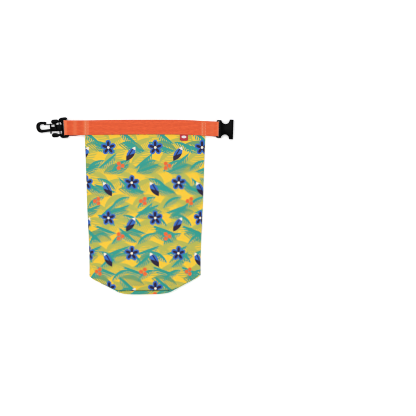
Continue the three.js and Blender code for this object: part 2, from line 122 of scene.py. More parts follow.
# %% Finishes
class Finish:
    """A material under construction, with constants set straight on its shader."""

    def __init__(self, name, **constants):
        self.material = bpy.data.materials.new(name)
        self.material.use_nodes = True
        tree = self.material.node_tree
        self.nodes, self.links = tree.nodes, tree.links
        self.shader = self.nodes["Principled BSDF"]
        for label, value in constants.items():
            self.shader.inputs[label.replace("_", " ")].default_value = value

    def add(self, kind, settings, sockets, output=0):
        """A node of this kind: settings first, then a value or a wire for each socket."""
        node = self.nodes.new(kind)
        for key, value in settings.items():
            setattr(node, key, value)
        for key, value in sockets.items():
            if isinstance(value, Wire):
                self.links.new(value.socket, node.inputs[key])
            else:
                node.inputs[key].default_value = value
        return Wire(self, node.outputs[output])

    def mix(self, share, first, second, blend="MIX"):
        """One colour fading into another, or blended with it."""
        settings = {"data_type": "RGBA", "blend_type": blend}
        return self.add("ShaderNodeMix", settings, {0: share, 6: first, 7: second}, 2)

    def place(self):
        """Where a point lies on the object, in metres."""
        return self.add("ShaderNodeTexCoord", {}, {}, "Object")

    def flat(self):
        """The piece's own flat coordinates, in metres: along its first way and its second way."""
        return self.add("ShaderNodeUVMap", {"uv_map": "flat"}, {}).split()[:2]

    def noise(self, where, scale, detail):
        """Soft uneven patches, about 1 / scale metres across."""
        return self.add("ShaderNodeTexNoise", {}, {"Vector": where, "Scale": scale, "Detail": detail})

    def bump(self, height, distance, strength):
        """A normal that leans as it would on a relief of this height times the distance."""
        sockets = {"Height": height, "Distance": distance, "Strength": strength}
        return self.add("ShaderNodeBump", {}, sockets)

    def show(self, **wires):
        """Wires go to the shader's sockets of the same names, and the material is done."""
        for label, wire in wires.items():
            self.links.new(wire.socket, self.shader.inputs[label.replace("_", " ")])
        print("finish:", self.material.name, len(self.nodes), "nodes")
        return self.material


# %% [markdown]
# ## Grids of points
# Cloth could be pulled into shape by hand from a plane, but then no measure could be changed later. Here
# every new piece is a grid: rows of points worked out as whole arrays. One helper turns such a grid into
# a mesh, with its flat coordinates kept as a UV map so that weave and print follow the cloth.
# Sizes are in millimetres, measured from the middle of the mouth, as a bag maker would mark them out.

# %% From points to a piece
panel_low, panel_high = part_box("front_panel")
MOUTH_MIDDLE = np.array([(panel_low[0] + panel_high[0]) / 2, panel_high[1], 0.0])
print("middle of the mouth in mm:", (1000 * MOUTH_MIDDLE).round(1))


def mesh_from(name, points, faces):
    """A mesh through points in millimetres, set off from the middle of the mouth."""
    mesh = bpy.data.meshes.new(name)
    mesh.from_pydata((points.reshape(-1, 3) / 1000 + MOUTH_MIDDLE).tolist(), [], faces)
    return mesh


def piece_from(name, mesh, material):
    """An object for a mesh, all in one finish and smooth, linked into the scene."""
    count = len(mesh.polygons)
    mesh.materials.clear()
    mesh.materials.append(material)
    mesh.polygons.foreach_set("material_index", np.zeros(count, int))
    mesh.polygons.foreach_set("use_smooth", np.ones(count, bool))
    piece = bpy.data.objects.new(name, mesh)
    bpy.context.scene.collection.objects.link(piece)
    print("piece:", name, count, "faces")
    return piece


# %% Grids
def grid_faces(rows, columns, loop=False):
    """Four corners for each face of a grid numbered row by row; loop joins the last column to the first.
    Faces look along (row step) x (column step)."""
    index = np.arange(rows * columns).reshape(rows, columns)
    if loop:
        index = np.concatenate([index, index[:, :1]], 1)
    corners = (index[:-1, :-1], index[1:, :-1], index[1:, 1:], index[:-1, 1:])
    return np.stack(corners, -1).reshape(-1, 4)


print("3 by 4 points make", len(grid_faces(3, 4)), "faces, or", len(grid_faces(3, 4, True)), "as a loop")


# %% Sheets and walls
def lay(name, points, flat, material, loop=False, caps=False):
    """A piece through rows x columns of points; caps closes the first and last row with one face each."""
    rows, columns = points.shape[:2]
    faces = grid_faces(rows, columns, loop).tolist()
    if caps:
        ring = np.arange(columns)
        faces += [ring.tolist(), (ring[::-1] + (rows - 1) * columns).tolist()]
    mesh = mesh_from(name, points, faces)
    loops = np.empty(len(mesh.loops), int)
    mesh.loops.foreach_get("vertex_index", loops)
    layer = mesh.uv_layers.new(name="flat")
    layer.data.foreach_set("uv", (flat.reshape(-1, 2)[loops] / 1000).ravel())
    return piece_from(name, mesh, material)


def thicken(piece, thick, lining=None):
    """Gives a sheet its wall, inwards from its outer face, with the lining's finish on the inner face."""
    if lining is not None:
        piece.data.materials.append(lining)
    wall = piece.modifiers.new("wall", "SOLIDIFY")
    wall.thickness = thick / 1000
    wall.offset = -1
    wall.use_even_offset = True
    wall.material_offset = 0 if lining is None else 1
    return piece


# %% [markdown]
# ## The bag's measurements
# The bag is described by a few short tables, the same ones that its solids were made from: half width
# and height at stations from mouth to seam, how far the mouth line sinks, and the soft creases of the
# front. A cubic through the rows gives every value in between.

# %% Tables
CORNER_DEPTH, SEAM_TILT, FRONT_DROP, BACK_RISE = 265.4, 1.3, 25.6, 26.0
SLANT_RUN, BASE_BULGE, BULGE_HALF = 47.0, 20.0, 52.0
EDGE, SEAM_GAP, LAID_FLAT, CROWN = 4.5, 0.4, 0.72, 0.9
STATIONS = np.array([0.0, 0.1, 0.3, 0.55, 0.8, 0.93, 1.0])
HALF_WIDTH = np.array([103.1, 102.8, 100.8, 98.6, 95.5, 94.7, 95.0])
LOFT = np.array([10.8, 10.8, 16.0, 21.0, 23.0, 19.5, 11.0])
MOUTH_X = np.array([-186.0, -138.0, -105.0, -60.0, 0.0, 45.0, 80.0, 103.0, 150.0])
MOUTH_DROP = np.array([0.6, 0.9, 1.0, 0.35, 0.0, 0.1, 0.8, 2.2, 4.0])
# Creases: middle x and y, heading in degrees, half length, half width, depth
CREASES = np.array(
    [
        [-56, -240, 33, 46, 10, 1.8],
        [58, -238, 148, 44, 10, 1.7],
        [-34, -66, 84, 50, 13, 1.2],
        [46, -104, 98, 62, 14, 1.3],
        [4, -186, 6, 56, 13, 1.0],
    ]
)
print("the mouth is", 2 * HALF_WIDTH[0], "mm wide, and the front has", len(CREASES), "creases")


# %% Between the rows
def between(places, values, at):
    """The cubic through a table's rows, with each row's slope taken from its two neighbours."""
    at = np.clip(at, places[0], places[-1])
    row = np.clip(np.searchsorted(places, at, side="left") - 1, 0, len(places) - 2)
    ahead = np.r_[1 : len(places), len(places) - 1]
    behind = np.r_[0, 0 : len(places) - 1]
    slope = (values[ahead] - values[behind]) / (places[ahead] - places[behind])
    run = places[row + 1] - places[row]
    t = (at - places[row]) / run
    ease = t * t * (3 - 2 * t)
    level = values[row] * (1 - ease) + values[row + 1] * ease
    return level + run * t * (1 - t) * ((1 - t) * slope[row] - t * slope[row + 1])


def mouth_line(x):
    """How far the mouth's edge lies below a straight line, as a negative y."""
    return -between(MOUTH_X, MOUTH_DROP, x)


def half_width(along):
    """Half the bag's width at a share of the way from mouth to seam."""
    return between(STATIONS, HALF_WIDTH, along)


def loft(along):
    """Height of the front's crown at a share of the way from mouth to seam."""
    return between(STATIONS, LOFT, along)


SEAM_HALF = float(half_width(np.array(1.0)))
print("the base seam is", round(2 * SEAM_HALF), "mm wide")


# %% Seams and heights
def ramp(across):
    """Share of the seam's slant: 0 at a base corner, rising in a line, rounded off to 1 at the bottom."""
    rounding = 0.2
    rise = (1 - np.abs(across)) * SEAM_HALF / SLANT_RUN
    meet = np.maximum(rounding - np.abs(rise - 1), 0) / rounding
    return np.minimum(rise, 1) - meet * meet * rounding / 4


def front_seam(across):
    """Depth of the front's lower edge below the mouth: the corners' depth and a slanting drop."""
    return CORNER_DEPTH - SEAM_TILT * across + FRONT_DROP * ramp(across)


def back_seam(across):
    """Depth of the back's lower edge, which stops short of the corners."""
    return CORNER_DEPTH - SEAM_TILT * across - BACK_RISE * ramp(across)


def front_height(across, crown):
    """An ellipse-like arch from the side seams up to the crown."""
    edge = EDGE + SEAM_GAP / 2
    return edge + (crown - edge) * np.maximum(0, 1 - across**2) ** (CROWN / 2)


def back_height(across):
    """Flat on the surface, then a quarter round up to the side seams."""
    edge = EDGE - SEAM_GAP / 2
    turn = np.maximum(0, (np.abs(across) - LAID_FLAT) / (1 - LAID_FLAT))
    return edge * (1 - np.sqrt(np.maximum(0, 1 - turn * turn)))


def crease_depth(x, y):
    """Every crease is a long dimple that fades off along it and across it as a bell curve."""
    depth = np.zeros_like(x)
    for cx, cy, heading, length, width, deep in CREASES:
        turn = np.radians(heading)
        run = ((x - cx) * np.cos(turn) + (y - cy) * np.sin(turn)) / length
        off = ((y - cy) * np.cos(turn) - (x - cx) * np.sin(turn)) / width
        depth += deep * np.exp(-run * run - off * off)
    return depth


print("front and back reach", front_seam(0.0), "and", back_seam(0.0), "mm below the mouth")

# %% [markdown]
# ## The printed cloth
# The print is a repeat on yellow: broad striped leaves in olive, green and teal, blue five-petalled flowers
# with dark hearts, closed buds, and clusters of three berries. Each layer has its own half-drop grid, in
# which every other row moves on by half a cell and is turned round. A leaf is a bent lens: a point is in it
# if its distance from the midrib is less than the width left at that place. The cloth's fine weave is a
# bump over it all. A painted picture would do as well from afar, but sums stay sharp at any distance.

# %% Inks and leaves
YELLOW = (0.95, 0.61, 0.040, 1)
OLIVE = (0.50, 0.50, 0.090, 1)
GREEN = (0.17, 0.36, 0.15, 1)
TEAL = (0.030, 0.35, 0.285, 1)
BLUE = (0.035, 0.145, 0.56, 1)
PLUM = (0.020, 0.010, 0.040, 1)
CREAM = (0.90, 0.84, 0.70, 1)
CORAL = (0.87, 0.15, 0.035, 1)

# Leaves, from the lowest layer up: cell width and height in mm, shift of the grid in cells, turn in
# degrees, half length, half breadth, bend, and ink
LEAVES = [
    (53, 35, 0.10, 0.30, 24, 26, 8.6, 5.0, OLIVE),
    (47, 39, 0.62, 0.78, -33, 23, 8.4, -6.5, OLIVE),
    (56, 38, 0.25, 0.12, 14, 23, 7.4, -8.0, GREEN),
    (44, 31, 0.38, 0.05, 31, 19, 4.4, -9.0, TEAL),
    (50, 35, 0.88, 0.50, -20, 21, 4.8, 9.0, TEAL),
    (62, 42, 0.05, 0.70, 40, 21, 4.8, 8.0, TEAL),
]
HATCH_PITCH, HATCH_INKED, MIDRIB = 0.0047, 0.52, 0.0004
print("the print has", len(LEAVES), "layers of leaves")


# %% Half-drop grids
def cell(u, v, wide, high, shift_u, shift_v):
    """Half-drop grid: metres from the middle of the point's own cell, mirrored on every other row."""
    rows = v / (high / 1000) + shift_v
    odd = rows.math("FLOOR") % 2.0
    across = ((u / (wide / 1000) + odd * 0.5 + shift_u).math("FRACT") - 0.5) * (wide / 1000)
    up = (rows.math("FRACT") - 0.5) * (high / 1000)
    return across * (1 - odd * 2.0), up


def turned(across, up, degrees):
    """The same place in axes turned by an angle."""
    cos, sin = np.cos(np.radians(degrees)), np.sin(np.radians(degrees))
    return across * cos + up * sin, up * cos - across * sin


# %% Leaves and flowers
def leaf(finish, under, place, degrees, length, breadth, bend, ink):
    """A bent lens painted over the colour under it. Above its midrib it is solid, and below it is half as
    broad again and hatched: slanting strokes with the lower colour showing between them."""
    run, off = turned(*place, degrees)
    off = off - run * run * bend
    share = run / (length / 1000)
    below = off < -MIDRIB
    room = (1 - share * share) * (below * 0.5 + 1.0) * (breadth / 1000)
    inside = ((room - abs(off)) * 4000).limited()
    stroke = ((run * 0.9 + abs(off) * 1.3) / HATCH_PITCH).math("FRACT") < HATCH_INKED
    return finish.mix(inside * stroke.math("MAXIMUM", 1 - below), under, ink)


def flower(finish, under, place, degrees, size):
    """Five round petals: the edge is a distance that swells and shrinks five times round the middle."""
    across, up = turned(*place, degrees)
    out = (across * across + up * up).math("SQRT") / (size / 1000)
    petal = abs((up.math("ARCTAN2", across) * 2.5).math("COSINE"))
    rim = petal.math("POWER", 0.55) * 0.6 + 0.4
    heart = petal.math("POWER", 1.6) * 0.62 + 0.2
    inside = ((rim - out) * 50).limited()
    dark = ((heart - out) * 50).limited()
    ink = finish.mix(dark, BLUE, PLUM)
    ink = finish.mix(out < 0.17, ink, CREAM)
    return finish.mix(inside, under, ink)


# %% Buds and berries
def bud(finish, under, place, degrees, length, breadth):
    """A closed flower from the side: a lens with a dark foot, a dark fold along it and a cream tip."""
    run, off = turned(*place, degrees)
    share = run / (length / 1000)
    room = (1 - share * share) * (breadth / 1000)
    inside = ((room - abs(off)) * 3000).limited()
    foot = (share + off / (breadth / 1000) * 0.5) < -0.12
    fold = abs(off - 0.0016) < 0.0009
    ink = finish.mix(foot.math("MAXIMUM", fold), BLUE, PLUM)
    ink = finish.mix(share > 0.62, ink, CREAM)
    return finish.mix(inside, under, ink)


def berries(finish, under, place, size):
    """Three dots round a point: a distance that is folded into thirds of a turn."""
    third = 2 * np.pi / 3
    across, up = place
    out = (across * across + up * up).math("SQRT")
    angle = (up.math("ARCTAN2", across) / third).math("FRACT") * third - third / 2
    x = out * angle.math("COSINE") - size / 1000 * 1.2
    y = out * angle.math("SINE")
    dot = (x * x + y * y).math("SQRT")
    inside = ((size / 1000 - dot) * 4000).limited()
    return finish.mix(inside, under, CORAL)


# %% The printed finish
BLOOM_CELL = (80, 60)
FLOWER_SHIFT, BUD_SHIFT, BERRY_SHIFT = (0.28, 0.62), (0.80, 0.80), (0.53, 0.14)
CLOTH_THREADS = 11000


def printed_cloth(name):
    """Leaves in layers, then flowers, buds and berries, with a faint patchy fading and a plain weave."""
    finish = Finish(name, Sheen_Weight=0.04, Sheen_Roughness=0.5, Specular_IOR_Level=0.2)
    u, v = finish.flat()
    colour = YELLOW
    for wide, high, shift_u, shift_v, degrees, length, breadth, bend, ink in LEAVES:
        place = cell(u, v, wide, high, shift_u, shift_v)
        colour = leaf(finish, colour, place, degrees, length, breadth, bend, ink)
    colour = flower(finish, colour, cell(u, v, *BLOOM_CELL, *FLOWER_SHIFT), 20, 13.2)
    colour = bud(finish, colour, cell(u, v, *BLOOM_CELL, *BUD_SHIFT), 58, 14.5, 6.2)
    colour = berries(finish, colour, cell(u, v, *BLOOM_CELL, *BERRY_SHIFT), 3.6)
    place = finish.place()
    patch = finish.noise(place, 22.0, 3.0)
    shade = finish.mix(patch * 0.12, (1, 1, 1, 1), (0.72, 0.70, 0.66, 1))
    inked = finish.mix(1.0, colour, shade, "MULTIPLY")
    weave = (u * CLOTH_THREADS).math("SINE") * (v * CLOTH_THREADS).math("SINE")
    relief = weave * 0.35 + finish.noise(place, 160.0, 3.0)
    roughness = patch * 0.16 + 0.5
    return finish.show(Base_Color=inked, Roughness=roughness, Normal=finish.bump(relief, 0.00012, 0.5))


PRINT = printed_cloth("printed_cloth")


# %% The lining
def coated_lining(name):
    """The waterproof face inside: pale, smooth film with a faint grain of the cloth behind it."""
    finish = Finish(name, Specular_IOR_Level=0.5)
    place = finish.place()
    patch = finish.noise(place, 30.0, 3.0)
    colour = finish.mix(patch, (0.80, 0.79, 0.74, 1), (0.70, 0.69, 0.63, 1))
    relief = finish.bump(finish.noise(place, 420.0, 2.0), 0.0001, 0.4)
    return finish.show(Base_Color=colour, Roughness=patch * 0.2 + 0.3, Normal=relief)


LINING = coated_lining("coated_lining")

# %% [markdown]
# ## Front and back
# The two panels are one loft cut along the side seams. The front is the bag's shape plus what cloth does:
# soft creases, faint swells, puckers where thread pulls along the webbing and the base, and edges that
# roll in towards the seams. It could be simulated, but the real one lies smooth and nearly flat, so a
# formula gives that calmly and the same way each time.

# %% Cloth helpers
CLOTH, BASE_CLOTH = 1.2, 0.5
SEAM_ROLL, SIDE_ROLL, BACK_ROLL, LAST_ROLL = 2.8, 1.1, 1.2, 1.0
SWELL, SAG = 0.28, 0.3
SEAM_PUCKER, STRAP_PUCKER, BACK_PUCKER, BASE_PUCKER = 0.32, 0.16, 0.22, 0.35
# Where each panel is cut from the printed roll
FRONT_CUT, BACK_CUT, BASE_CUT = (400, 400), (431, 417), (463, 391)


def rolled(distance, radius):
    """How far an edge has turned in, as a quarter round, at a distance from its seam."""
    left = np.clip(radius - distance, 0, radius)
    return radius - np.sqrt(radius * radius - left * left)


def seam_dip(across):
    """How deep the base seam sinks between the two panels: most along the bottom, little on the slants."""
    return 0.25 + 0.75 * ramp(across) ** 3


def pucker(x, pitch, start):
    """Uneven little waves along a seam: three sines that never quite repeat."""
    wave = np.sin(x / pitch + start) + 0.7 * np.sin(1.73 * x / pitch + 2.1 * start)
    return (wave + 0.5 * np.sin(0.41 * x / pitch + 4.0 * start)) / 2.2


def swell(x, y):
    """Broad faint waves in the slack cloth: three sines with different headings."""
    wave = np.sin(x / 23 + y / 61 + 0.6) + np.sin(x / 37 - y / 29 + 2.2)
    return wave + 0.6 * np.sin(x / 15 + y / 44 + 4.0)


def lengths(points, axis):
    """Distance walked along a grid's rows or columns."""
    step = np.linalg.norm(np.diff(points, axis=axis), axis=2)
    zero = np.zeros_like(np.take(step, [0], axis=axis))
    return np.cumsum(np.concatenate([zero, step], axis), axis)


def smooth_step(x, start, end):
    """0 before start, 1 after end, and an even ease between them."""
    t = np.clip((x - start) / (end - start), 0, 1)
    return t * t * (3 - 2 * t)


print("the seam sinks by", SEAM_ROLL * seam_dip(1.0), "mm at a corner and", SEAM_ROLL, "mm at the bottom")

# %% The front panel
STRAP_WIDE = 25.0


def front_points(acrosses, alongs):
    """Loft of the front: x is the half width times the cosine of the share across, y runs from the mouth
    line to the seam, and z is the arch less creases, with swells, puckers and rolled edges."""
    share, along = np.meshgrid(acrosses, alongs)
    across = np.cos(np.pi * share)
    x = half_width(along) * across
    seam = front_seam(across)
    y = mouth_line(x) * (1 - along) - seam * along
    z = front_height(across, loft(along)) - crease_depth(x, y) * np.sin(np.pi * share)
    from_left = lengths(np.stack([x, y, z], -1), 1)
    from_side = np.minimum(from_left, from_left[:, -1:] - from_left)
    from_seam = (1 - along) * seam
    from_strap = -y - STRAP_WIDE
    free = smooth_step(from_strap, 2, 40) * smooth_step(from_side, 6, 30) * smooth_step(from_seam, 4, 30)
    z += SWELL * swell(x, y) * free - SAG * free
    z += SEAM_PUCKER * pucker(x, 2.1, 0.7) * np.exp(-from_seam / 7) * smooth_step(from_seam, 0, 3)
    z -= STRAP_PUCKER * (1 + pucker(x, 2.6, 1.9)) * np.exp(-np.abs(from_strap - 2) / 6) * (from_strap > 0)
    z -= seam_dip(across) * rolled(from_seam, SEAM_ROLL)
    x -= np.sign(across) * rolled(from_side, SIDE_ROLL)
    flat = np.stack([from_left - from_left[:, -1:] / 2, y], -1)
    return np.stack([x, y, z], -1), flat


points, flat = front_points(np.linspace(1, 0, 171), np.linspace(0, 1, 211))
front_cloth = thicken(lay("front_cloth", points, flat + FRONT_CUT, PRINT), CLOTH, LINING)


# %% The back panel
def back_points(acrosses, alongs):
    """Loft of the back: flat on the surface, curling up to the side seams, with a rolled lower edge."""
    share, along = np.meshgrid(acrosses, alongs)
    across = np.cos(np.pi * share)
    x = half_width(along) * across
    seam = back_seam(across)
    y = mouth_line(x) * (1 - along) - seam * along
    z = back_height(across)
    from_right = lengths(np.stack([x, y, z], -1), 1)
    from_side = np.minimum(from_right, from_right[:, -1:] - from_right)
    from_seam = (1 - along) * seam
    z += BACK_PUCKER * (1 + pucker(x, 2.3, 2.6)) * np.exp(-from_seam / 6)
    z += rolled(from_seam, BACK_ROLL)
    x -= np.sign(across) * rolled(from_side, SIDE_ROLL)
    flat = np.stack([from_right - from_right[:, -1:] / 2, y], -1)
    return np.stack([x, y, z], -1), flat


points, flat = back_points(np.linspace(0, 1, 121), np.linspace(0, 1, 151))
back_cloth = thicken(lay("back_cloth", points, flat + BACK_CUT, PRINT), CLOTH, LINING)

# %% [markdown]
# ## The base
# The oval base is sewn to the lower edges of the front and the back. Lying down, most of it folds under
# the bag, and a narrow strip bulges out past the front seam. A flat oval could be bent into place, but its
# rim would hardly meet both seams. So each slice across it is one quadratic curve from the front seam, out
# past the end, and back along the surface. Its upper edge tucks in under the front's edge, so that the seam
# stays shut from every side.

# %% The base panel
BASE_REACH, SEAM_STEP, PULL_OUT = 0.975, 0.5, 4.0
TUCK_DOWN, TUCK_IN = 0.14, 0.45


def base_points(acrosses, downs):
    """Slices of a quadratic curve: (1-w)^2 of the front seam, 2w(1-w) of the pull, w^2 of the back seam."""
    across, w = np.meshgrid(acrosses, downs)
    x = SEAM_HALF * across
    low = back_height(across)
    bulge = np.maximum(0, 1 - (x / BULGE_HALF) ** 4)
    start_y = -front_seam(across) - SEAM_STEP
    end_y = -back_seam(across) - SEAM_STEP
    pull_y = start_y - PULL_OUT * np.minimum(1, 5 * ramp(across)) - BASE_BULGE * bulge
    start_z = front_height(across, LOFT[-1])
    pull_z = low * 0.6 + 0.3 * (start_z - low) * (1 - bulge)
    first, middle, last = (1 - w) ** 2, 2 * w * (1 - w), w * w
    y = first * start_y + middle * pull_y + last * end_y
    z = first * start_z + middle * pull_z + last * low
    down = lengths(np.stack([x, y, z], -1), 0)
    turned_in = rolled(down, SEAM_ROLL)
    z -= (seam_dip(across) + TUCK_DOWN) * turned_in
    y += TUCK_IN * turned_in
    y += BASE_PUCKER * pucker(x, 2.0, 3.3) * np.exp(-down / 5) * smooth_step(down, 0, 3)
    z += rolled(down[-1:] - down, LAST_ROLL)
    return np.stack([x, y, z], -1), np.stack([x, -down], -1)


acrosses = BASE_REACH * np.sin(np.linspace(-0.5, 0.5, 141) * np.pi)
points, flat = base_points(acrosses, np.linspace(0, 1, 61))
base_cloth = thicken(lay("base_cloth", points, flat + BASE_CUT, PRINT), BASE_CLOTH, LINING)

# %% [markdown]
# ## Webbing
# The strap is a narrow loom's work: close lengthwise ribs, crossed by finer ones. A bevelled curve would
# give its shape, but no flat coordinates for the weave. So it is a rounded section carried along a path
# seen from the mouth: it starts behind the left tab, goes round the bars there, crosses the front, goes
# round the buckle's bar and ends behind the right tab. The plies behind have slipped a little, so that an
# edge of them shows under each tab, darkened with painted shade. Painted highlights lie along the folds,
# and the left tab has bands of painted shade and painted highlight across it. The colour is also paler
# at the sewn ends of the tabs and over the right tab.

# %% Webbing finish
# Places along the strap, in metres from the middle of the mouth
BAND_AT, BAND_PITCH, TAB_FROM = -0.1366, 0.0173, 0.0945
SEWN_OUT, SEWN_HALF = 0.0993, 0.0047
FOLD_MIDDLE, FOLD_OUT = -0.0054, 0.1272
# Height in metres below which the strap's lower plies get painted shade
LOWER_PLY = 0.0062
# Ribs and picks, in radians a metre
RIBS, PICKS = 3000, 7400


def woven_strap(name):
    """Sine ribs and picks, wear, painted shade and highlight stripes, painted fold highlights and ply shade.
    """
    finish = Finish(name, Sheen_Weight=0.08, Sheen_Roughness=0.4, Specular_IOR_Level=0.2)
    run, side = finish.flat()
    place = finish.place()
    x, _, up = place.split()
    x = x - float(MOUTH_MIDDLE[0])
    ribs = (side * RIBS).math("SINE") * 0.5 + 0.5
    picks = (run * PICKS + (side * (RIBS / 2)).math("SINE") * 0.6).math("SINE") * 0.5 + 0.5
    fuzz = finish.noise(place, 900.0, 2.0)
    height = ribs * 0.6 + picks * 0.25 + fuzz * 0.3
    colour = finish.mix(height, (0.69, 0.076, 0.020, 1), (0.96, 0.150, 0.047, 1))
    streaks = finish.noise(finish.add("ShaderNodeCombineXYZ", {}, {0: run * 0.35, 1: side}), 420.0, 3.0)
    worn = ((streaks - 0.38) * 3.0).limited()
    colour = finish.mix(worn, colour, (0.73, 0.092, 0.028, 1))
    # Cosine bands across the strap: on the left tab, painted shade in their troughs and painted highlight on
    # their crests.
    shade_and_highlight_bands = ((x - BAND_AT) * (2 * np.pi / BAND_PITCH)).math("COSINE")
    left = ((-TAB_FROM - x) * 400).limited()
    right = ((x - TAB_FROM) * 400).limited()
    # Painted shade in the troughs of the bands on the left tab.
    troughs = (shade_and_highlight_bands * -1.0).math("MAXIMUM", 0.0)
    dark = troughs * left * 0.34
    colour = finish.mix(dark, colour, (0.66, 0.080, 0.026, 1))
    # Painted highlight where the strap bends round its folds at both ends.
    painted_fold_highlight = ((abs(x - FOLD_MIDDLE) - FOLD_OUT) * 900).limited()
    sewn = ((SEWN_HALF - abs(abs(x) - SEWN_OUT)) * 700).limited() * (0.5 - right * 0.25)
    # Painted highlight on the crests of the left tab's bands; the right tab and the sewn ends are made
    # paler.
    pale = shade_and_highlight_bands.math("MAXIMUM", 0.0) * left * 0.45 + (troughs * 0.22 + 0.1) * right + sewn
    colour = finish.mix(pale, colour, (0.83, 0.205, 0.082, 1))
    colour = finish.mix(painted_fold_highlight * 0.6, colour, (0.95, 0.205, 0.080, 1))
    # Painted shade on the lower plies, under the tabs, below LOWER_PLY in height.
    painted_ply_shade = ((LOWER_PLY - up) * 450).limited() * 0.75
    colour = finish.mix(painted_ply_shade, colour, (0.20, 0.012, 0.006, 1))
    relief = finish.bump(height, 0.00025, 0.7)
    return finish.show(Base_Color=colour, Roughness=fuzz * 0.2 + 0.62, Normal=relief)


STRAP = woven_strap("woven_strap")


# %% Curves for the path
def spline(knots, steps=10):
    """A smooth curve through knots: on each span, the cubic that leaves and arrives along its neighbours."""
    p = np.vstack([knots[:1], knots, knots[-1:]])[:, None]
    a, b, c, d = p[:-3], p[1:-2], p[2:-1], p[3:]
    t = np.linspace(0, 1, steps, endpoint=False)[None, :, None]
    curve = b + 0.5 * t * ((c - a) + t * (2 * a - 5 * b + 4 * c - d + t * (3 * (b - c) + d - a)))
    return np.vstack([curve.reshape(-1, 2), knots[-1:]])


def corner(x, z, radius, start, end):
    """Twelve points of an arc round a middle, between two headings in degrees."""
    turn = np.radians(np.linspace(start, end, 12))
    return np.stack([x + radius * np.cos(turn), z + radius * np.sin(turn)], -1)


# %% The strap's path
STRAP_THICK, REST = 1.5, 0.4
LEFT_FOLD, RIGHT_FOLD, STITCHED = -138.3, 125.6, 97.0
LEFT_LOW, LEFT_HIGH, LEFT_ROUND = 1.05, 9.95, 1.9
RIGHT_LOW, RIGHT_HIGH, RIGHT_ROUND = 1.9, 7.1, 1.6
LIP_ALONG = np.array(STRAP_WIDE / CORNER_DEPTH)


def over_lip(x):
    """Height of the strap's middle where it lies on the front's lip."""
    lip = front_height(x / half_width(LIP_ALONG), loft(LIP_ALONG))
    return lip + REST + STRAP_THICK / 2


def strap_path():
    """The strap's middle line in the plane of x and height, and the stretch of it that shows on top."""
    left_x = LEFT_FOLD + STRAP_THICK / 2 + LEFT_ROUND
    right_x = RIGHT_FOLD - STRAP_THICK / 2 - RIGHT_ROUND
    under = float(over_lip(np.array(STITCHED)))
    doubled = under + STRAP_THICK + REST
    behind_left = [[-STITCHED, under], [-103.5, 6.9], [-114, 4.3], [-125, 1.8], [left_x, LEFT_LOW]]
    leaving = [[left_x, LEFT_HIGH], [-123, LEFT_HIGH], [-110, doubled + 0.1], [-STITCHED, doubled]]
    middle_x = np.arange(-86, 87, 21.5)
    middle = np.stack([middle_x, over_lip(middle_x) + 0.15], -1).tolist()
    arriving = [[STITCHED, doubled], [107, 8.7], [114.5, 7.5], [right_x, RIGHT_HIGH]]
    behind_right = [[right_x, RIGHT_LOW], [114.5, 2.6], [108.5, 4.6], [103.5, 6.7], [STITCHED, under]]
    crossing = spline(np.array(leaving + middle + arriving))
    stretches = [
        spline(np.array(behind_left)),
        corner(left_x, LEFT_LOW + LEFT_ROUND, LEFT_ROUND, 270, 180),
        corner(left_x, LEFT_HIGH - LEFT_ROUND, LEFT_ROUND, 180, 90),
        crossing,
        corner(right_x, RIGHT_HIGH - RIGHT_ROUND, RIGHT_ROUND, 90, 0),
        corner(right_x, RIGHT_LOW + RIGHT_ROUND, RIGHT_ROUND, 0, -90),
        spline(np.array(behind_right)),
    ]
    path = np.vstack(stretches)
    moved = np.r_[True, np.linalg.norm(np.diff(path, axis=0), axis=1) > 1e-3]
    return path[moved], crossing


path, crossing = strap_path()
run = np.cumsum(np.r_[0, np.linalg.norm(np.diff(path, axis=0), axis=1)])
print("the strap is", round(run[-1]), "mm long")

# %% Places on the strap
LEFT_TURN, RIGHT_TURN = np.radians(3.3), np.radians(-2.0)
TURN_FROM, TURN_FULL = 106, 122


def strap_turn(x):
    """The strap is square to the bag, and turns with the fittings at its ends."""
    share = smooth_step(np.abs(x), TURN_FROM, TURN_FULL)
    return share * np.where(x < 0, np.tan(LEFT_TURN), np.tan(RIGHT_TURN))


def on_strap(x, side, height):
    """A place on the strap, bent along the mouth line and turned at the ends."""
    return np.stack([x - side * strap_turn(x), side - STRAP_WIDE / 2 + mouth_line(x), height], -1)


def rounded_section(wide, thick, steps):
    """A flat section with round edges, run once round: across the top, round, and back underneath."""
    radius = thick / 2
    top = np.stack([np.linspace(-1, 1, steps) * (wide / 2 - radius), np.full(steps, radius)], -1)
    turn = np.radians(np.linspace(90, -90, 7)[1:-1])
    end = np.stack([wide / 2 - radius + radius * np.cos(turn), radius * np.sin(turn)], -1)
    return np.vstack([top, end, -top, -end])


section = rounded_section(STRAP_WIDE, STRAP_THICK, 25)
print("its section has", len(section), "points")

# %% The strap
FOLD_BOW, BOW_FROM, BOW_FULL = 0.5, 130, 137
SLIP_LEFT, SLIP_RIGHT, SLIP_FROM, SLIP_FULL = 1.3, 0.7, 104, 124
FLAT_SHIFT = 200.0
heading = np.gradient(path, axis=0)
heading /= np.linalg.norm(heading, axis=1, keepdims=True)
x = path[:, :1] - heading[:, 1:] * section[:, 1]
z = path[:, 1:] + heading[:, :1] * section[:, 1]
side = np.broadcast_to(section[:, 0], x.shape)
flat = np.stack([np.broadcast_to(run[:, None], x.shape), side], -1)
x = x + FOLD_BOW * (1 - (2 * side / STRAP_WIDE) ** 2) * smooth_step(-x, BOW_FROM, BOW_FULL)
points = on_strap(x, side, z)
slipped = smooth_step(np.abs(x), SLIP_FROM, SLIP_FULL) * (1 - smooth_step(z, 3, 7))
points[..., 1] -= slipped * np.where(x < 0, SLIP_LEFT, SLIP_RIGHT)
mouth_strap = lay("mouth_strap", points, flat + FLAT_SHIFT, STRAP, loop=True, caps=True)

